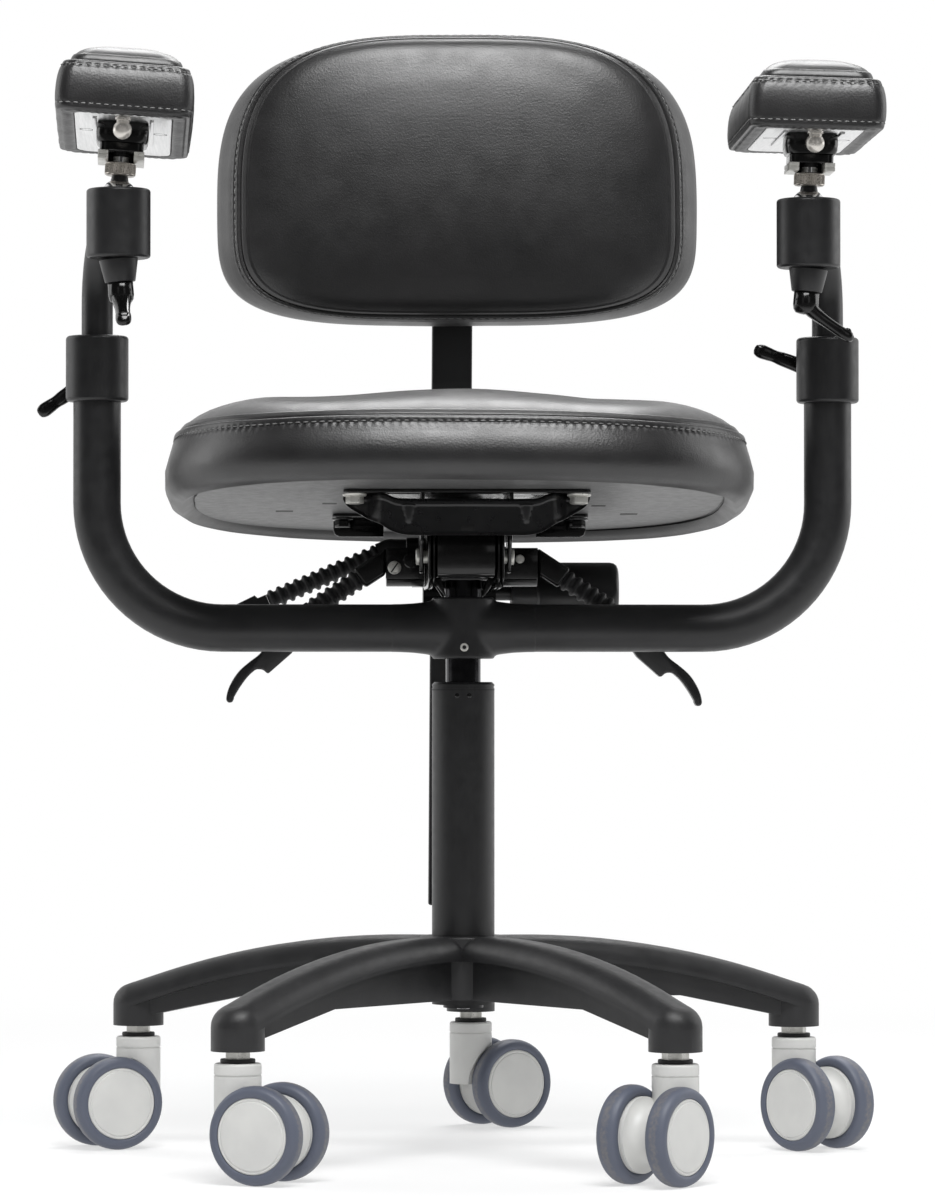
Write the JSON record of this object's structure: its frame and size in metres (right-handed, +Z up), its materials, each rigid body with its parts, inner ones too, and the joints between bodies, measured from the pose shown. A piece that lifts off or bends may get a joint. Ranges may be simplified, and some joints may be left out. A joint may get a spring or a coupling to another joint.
{
  "type": "laboratory chair",
  "caption": "Height-adjustable laboratory chair on a star base with casters, with a tilting seat, a sliding backrest and swivelling, tilting arm supports on a U-shaped yoke.",
  "frame": {"origin": "on the floor, on the column's axis", "axes": "+Z up along the column, +X to the right as seen from the front, the sitter faces -Y"},
  "size_m": [0.6867, 0.6443, 0.9162],
  "materials": {
    "nylon_black": "moulded glass-filled nylon, fine matt texture",
    "powder_coat_black": "matt black powder coat with a fine grain",
    "mechanism_black": "satin black paint on pressed and cast steel",
    "zinc_plate": "bright zinc plating",
    "ground_steel": "ground steel",
    "leather_black": "grained black leather, soft sheen, grey stitching",
    "board_black": "moulded black plastic with a fine texture",
    "lever_black": "moulded black plastic, smooth and slightly worn",
    "sleeve_rubber": "ribbed black rubber",
    "ball_chrome": "polished chrome",
    "stem_black": "black oxide",
    "nut_steel": "knurled bright steel",
    "carrier_black": "machined black plastic on a bright steel plate",
    "pad_aluminium": "brushed plain aluminium",
    "caster_grey": "moulded light grey nylon",
    "tyre_grey": "soft blue-grey tread"
  },
  "bodies": {
    "base": {"star_base": "nylon_black", "column_tube": "powder_coat_black", "column_clip": "zinc_plate", "caster_stems": "zinc_plate"},
    "lift_rod": {"piston_rod": "ground_steel"},
    "carriage": {"gas_cylinder": "powder_coat_black", "arm_yoke": "powder_coat_black", "mech_body": "mechanism_black"},
    "seat": {"seat_plate": "mechanism_black", "seat_bolts": "zinc_plate", "seat_board": "board_black", "seat_cushion": "leather_black"},
    "back_arm": {"back_arm": "powder_coat_black"},
    "backrest": {"back_bar": "powder_coat_black", "back_shell": "board_black", "back_cushion": "leather_black"},
    "lift_lever": {"lift_lever": "lever_black", "lift_lever_sleeve": "sleeve_rubber"},
    "seat_lever": {"seat_lever": "lever_black", "seat_lever_sleeve": "sleeve_rubber"},
    "back_lever": {"back_lever": "lever_black", "back_lever_sleeve": "sleeve_rubber"},
    "tension_knob": {"tension_knob": "lever_black"},
    "left_collar": {"left_arm_collar": "powder_coat_black"},
    "left_collar_lever": {"left_collar_lever": "lever_black"},
    "left_post": {"left_arm_post": "powder_coat_black", "left_ball_housing": "powder_coat_black"},
    "left_clamp_lever": {"left_clamp_lever": "lever_black"},
    "left_ball": {"left_arm_ball": "ball_chrome"},
    "left_stem": {"left_ball_stem": "stem_black"},
    "left_nut": {"left_lock_nut": "nut_steel"},
    "left_carrier": {"left_pad_carrier": "carrier_black"},
    "left_pad": {"left_pad_plate": "pad_aluminium", "left_arm_pad": "leather_black"},
    "right_collar": {"right_arm_collar": "powder_coat_black"},
    "right_collar_lever": {"right_collar_lever": "lever_black"},
    "right_post": {"right_arm_post": "powder_coat_black", "right_ball_housing": "powder_coat_black"},
    "right_clamp_lever": {"right_clamp_lever": "lever_black"},
    "right_ball": {"right_arm_ball": "ball_chrome"},
    "right_stem": {"right_ball_stem": "stem_black"},
    "right_nut": {"right_lock_nut": "nut_steel"},
    "right_carrier": {"right_pad_carrier": "carrier_black"},
    "right_pad": {"right_pad_plate": "pad_aluminium", "right_arm_pad": "leather_black"},
    "caster_1": {"caster_1_fork": "caster_grey"},
    "caster_1_wheels": {"caster_1_rims": "caster_grey", "caster_1_tyres": "tyre_grey"},
    "caster_2": {"caster_2_fork": "caster_grey"},
    "caster_2_wheels": {"caster_2_rims": "caster_grey", "caster_2_tyres": "tyre_grey"},
    "caster_3": {"caster_3_fork": "caster_grey"},
    "caster_3_wheels": {"caster_3_rims": "caster_grey", "caster_3_tyres": "tyre_grey"},
    "caster_4": {"caster_4_fork": "caster_grey"},
    "caster_4_wheels": {"caster_4_rims": "caster_grey", "caster_4_tyres": "tyre_grey"},
    "caster_5": {"caster_5_fork": "caster_grey"},
    "caster_5_wheels": {"caster_5_rims": "caster_grey", "caster_5_tyres": "tyre_grey"}
  },
  "joints": [
    {"name": "seat_swivel", "type": "hinge", "parent": "base", "child": "lift_rod", "pos_m": [0, 0, 0.1215], "axis": [0, 0, 1], "continuous": true},
    {"name": "seat_lift", "type": "slide", "parent": "lift_rod", "child": "carriage", "axis": [0, 0, 1], "range_m": [-0.01, 0.11]},
    {"name": "seat_tilt", "type": "hinge", "parent": "carriage", "child": "seat", "pos_m": [0, -0.04, 0.4774], "axis": [1, 0, 0], "range_deg": [-2, 8]},
    {"name": "back_tilt", "type": "hinge", "parent": "carriage", "child": "back_arm", "pos_m": [0, 0.104, 0.4834], "axis": [1, 0, 0], "range_deg": [-8, 4]},
    {"name": "back_height", "type": "slide", "parent": "back_arm", "child": "backrest", "axis": [0, 0, 1], "range_m": [0, 0.06]},
    {"name": "lift_lever_pull", "type": "hinge", "parent": "carriage", "child": "lift_lever", "pos_m": [0, 0.038, 0.47], "axis": [1, 0, 0], "range_deg": [0, 15], "stiffness_Nm_per_rad": 2},
    {"name": "seat_lever_pull", "type": "hinge", "parent": "carriage", "child": "seat_lever", "pos_m": [0, 0.038, 0.47], "axis": [1, 0, 0], "range_deg": [0, 15], "stiffness_Nm_per_rad": 2},
    {"name": "back_lever_pull", "type": "hinge", "parent": "carriage", "child": "back_lever", "pos_m": [0, 0.075, 0.487], "axis": [1, 0, 0], "range_deg": [0, 15], "stiffness_Nm_per_rad": 2},
    {"name": "tension_knob_turn", "type": "hinge", "parent": "carriage", "child": "tension_knob", "pos_m": [0.03, 0.11, 0.453], "axis": [1, 0, 0], "continuous": true},
    {"name": "left_arm_swivel", "type": "hinge", "parent": "carriage", "child": "left_collar", "pos_m": [-0.2925, 0, 0.602], "axis": [0, 0, 1], "range_deg": [-40, 40]},
    {"name": "left_collar_lever_turn", "type": "hinge", "parent": "left_collar", "child": "left_collar_lever", "pos_m": [-0.2925, 0.025, 0.628], "axis": [0, 1, 0], "range_deg": [-60, 60]},
    {"name": "left_arm_height", "type": "slide", "parent": "left_collar", "child": "left_post", "axis": [0, 0, 1], "range_m": [-0.015, 0.06]},
    {"name": "left_clamp_lever_turn", "type": "hinge", "parent": "left_post", "child": "left_clamp_lever", "pos_m": [-0.27256, -0.09799, 0.7085], "axis": [0, 0, 1], "range_deg": [-60, 60]},
    {"name": "left_pad_pitch", "type": "hinge", "parent": "left_post", "child": "left_ball", "pos_m": [-0.27256, -0.09799, 0.7565], "axis": [1, 0, 0], "range_deg": [-8, 8]},
    {"name": "left_pad_roll", "type": "hinge", "parent": "left_ball", "child": "left_stem", "pos_m": [-0.27256, -0.09799, 0.7565], "axis": [0, 1, 0], "range_deg": [-6, 6]},
    {"name": "left_lock_nut_turn", "type": "hinge", "parent": "left_stem", "child": "left_nut", "pos_m": [-0.27256, -0.09799, 0.7565], "axis": [0.0645, 0.0279, 0.9975], "continuous": true},
    {"name": "left_pad_turn", "type": "hinge", "parent": "left_stem", "child": "left_carrier", "pos_m": [-0.27256, -0.09799, 0.7565], "axis": [0.0645, 0.0279, 0.9975], "range_deg": [-25, 25]},
    {"name": "left_pad_slide", "type": "slide", "parent": "left_carrier", "child": "left_pad", "axis": [-0.0296, 0.9992, -0.026], "range_m": [-0.055, 0.012]},
    {"name": "right_arm_swivel", "type": "hinge", "parent": "carriage", "child": "right_collar", "pos_m": [0.2925, 0, 0.602], "axis": [0, 0, 1], "range_deg": [-40, 40]},
    {"name": "right_collar_lever_turn", "type": "hinge", "parent": "right_collar", "child": "right_collar_lever", "pos_m": [0.2925, 0.025, 0.628], "axis": [0, 1, 0], "range_deg": [-60, 60]},
    {"name": "right_arm_height", "type": "slide", "parent": "right_collar", "child": "right_post", "axis": [0, 0, 1], "range_m": [-0.015, 0.06]},
    {"name": "right_clamp_lever_turn", "type": "hinge", "parent": "right_post", "child": "right_clamp_lever", "pos_m": [0.26746, -0.09681, 0.7025], "axis": [0, 0, 1], "range_deg": [-60, 60]},
    {"name": "right_pad_pitch", "type": "hinge", "parent": "right_post", "child": "right_ball", "pos_m": [0.26746, -0.09681, 0.7505], "axis": [1, 0, 0], "range_deg": [-8, 8]},
    {"name": "right_pad_roll", "type": "hinge", "parent": "right_ball", "child": "right_stem", "pos_m": [0.26746, -0.09681, 0.7505], "axis": [0, 1, 0], "range_deg": [-6, 6]},
    {"name": "right_lock_nut_turn", "type": "hinge", "parent": "right_stem", "child": "right_nut", "pos_m": [0.26746, -0.09681, 0.7505], "axis": [0.0279, -0.0262, 0.9993], "continuous": true},
    {"name": "right_pad_turn", "type": "hinge", "parent": "right_stem", "child": "right_carrier", "pos_m": [0.26746, -0.09681, 0.7505], "axis": [0.0279, -0.0262, 0.9993], "range_deg": [-25, 25]},
    {"name": "right_pad_slide", "type": "slide", "parent": "right_carrier", "child": "right_pad", "axis": [0.0174, 0.9995, 0.0257], "range_m": [-0.055, 0.012]},
    {"name": "caster_1_swivel", "type": "hinge", "parent": "base", "child": "caster_1", "pos_m": [0.01617, 0.28053, 0.09], "axis": [0, 0, 1], "continuous": true},
    {"name": "caster_1_roll", "type": "hinge", "parent": "caster_1", "child": "caster_1_wheels", "pos_m": [0.03907, 0.29484, 0.0375], "axis": [-0.5299, 0.848, 0], "continuous": true},
    {"name": "caster_2_swivel", "type": "hinge", "parent": "base", "child": "caster_2", "pos_m": [-0.26181, 0.10207, 0.09], "axis": [0, 0, 1], "continuous": true},
    {"name": "caster_2_roll", "type": "hinge", "parent": "caster_2", "child": "caster_2_wheels", "pos_m": [-0.28647, 0.09109, 0.0375], "axis": [0.4067, -0.9135, 0], "continuous": true},
    {"name": "caster_3_swivel", "type": "hinge", "parent": "base", "child": "caster_3", "pos_m": [-0.17798, -0.21745, 0.09], "axis": [0, 0, 1], "continuous": true},
    {"name": "caster_3_roll", "type": "hinge", "parent": "caster_3", "child": "caster_3_wheels", "pos_m": [-0.15392, -0.22971, 0.0375], "axis": [0.454, 0.891, 0], "continuous": true},
    {"name": "caster_4_swivel", "type": "hinge", "parent": "base", "child": "caster_4", "pos_m": [0.15181, -0.23647, 0.09], "axis": [0, 0, 1], "continuous": true},
    {"name": "caster_4_roll", "type": "hinge", "parent": "caster_4", "child": "caster_4_wheels", "pos_m": [0.13518, -0.25774, 0.0375], "axis": [0.788, -0.6157, 0], "continuous": true},
    {"name": "caster_5_swivel", "type": "hinge", "parent": "base", "child": "caster_5", "pos_m": [0.2718, 0.07131, 0.09], "axis": [0, 0, 1], "continuous": true},
    {"name": "caster_5_roll", "type": "hinge", "parent": "caster_5", "child": "caster_5_wheels", "pos_m": [0.28861, 0.05018, 0.0375], "axis": [0.7826, 0.6225, 0], "continuous": true}
  ]
}
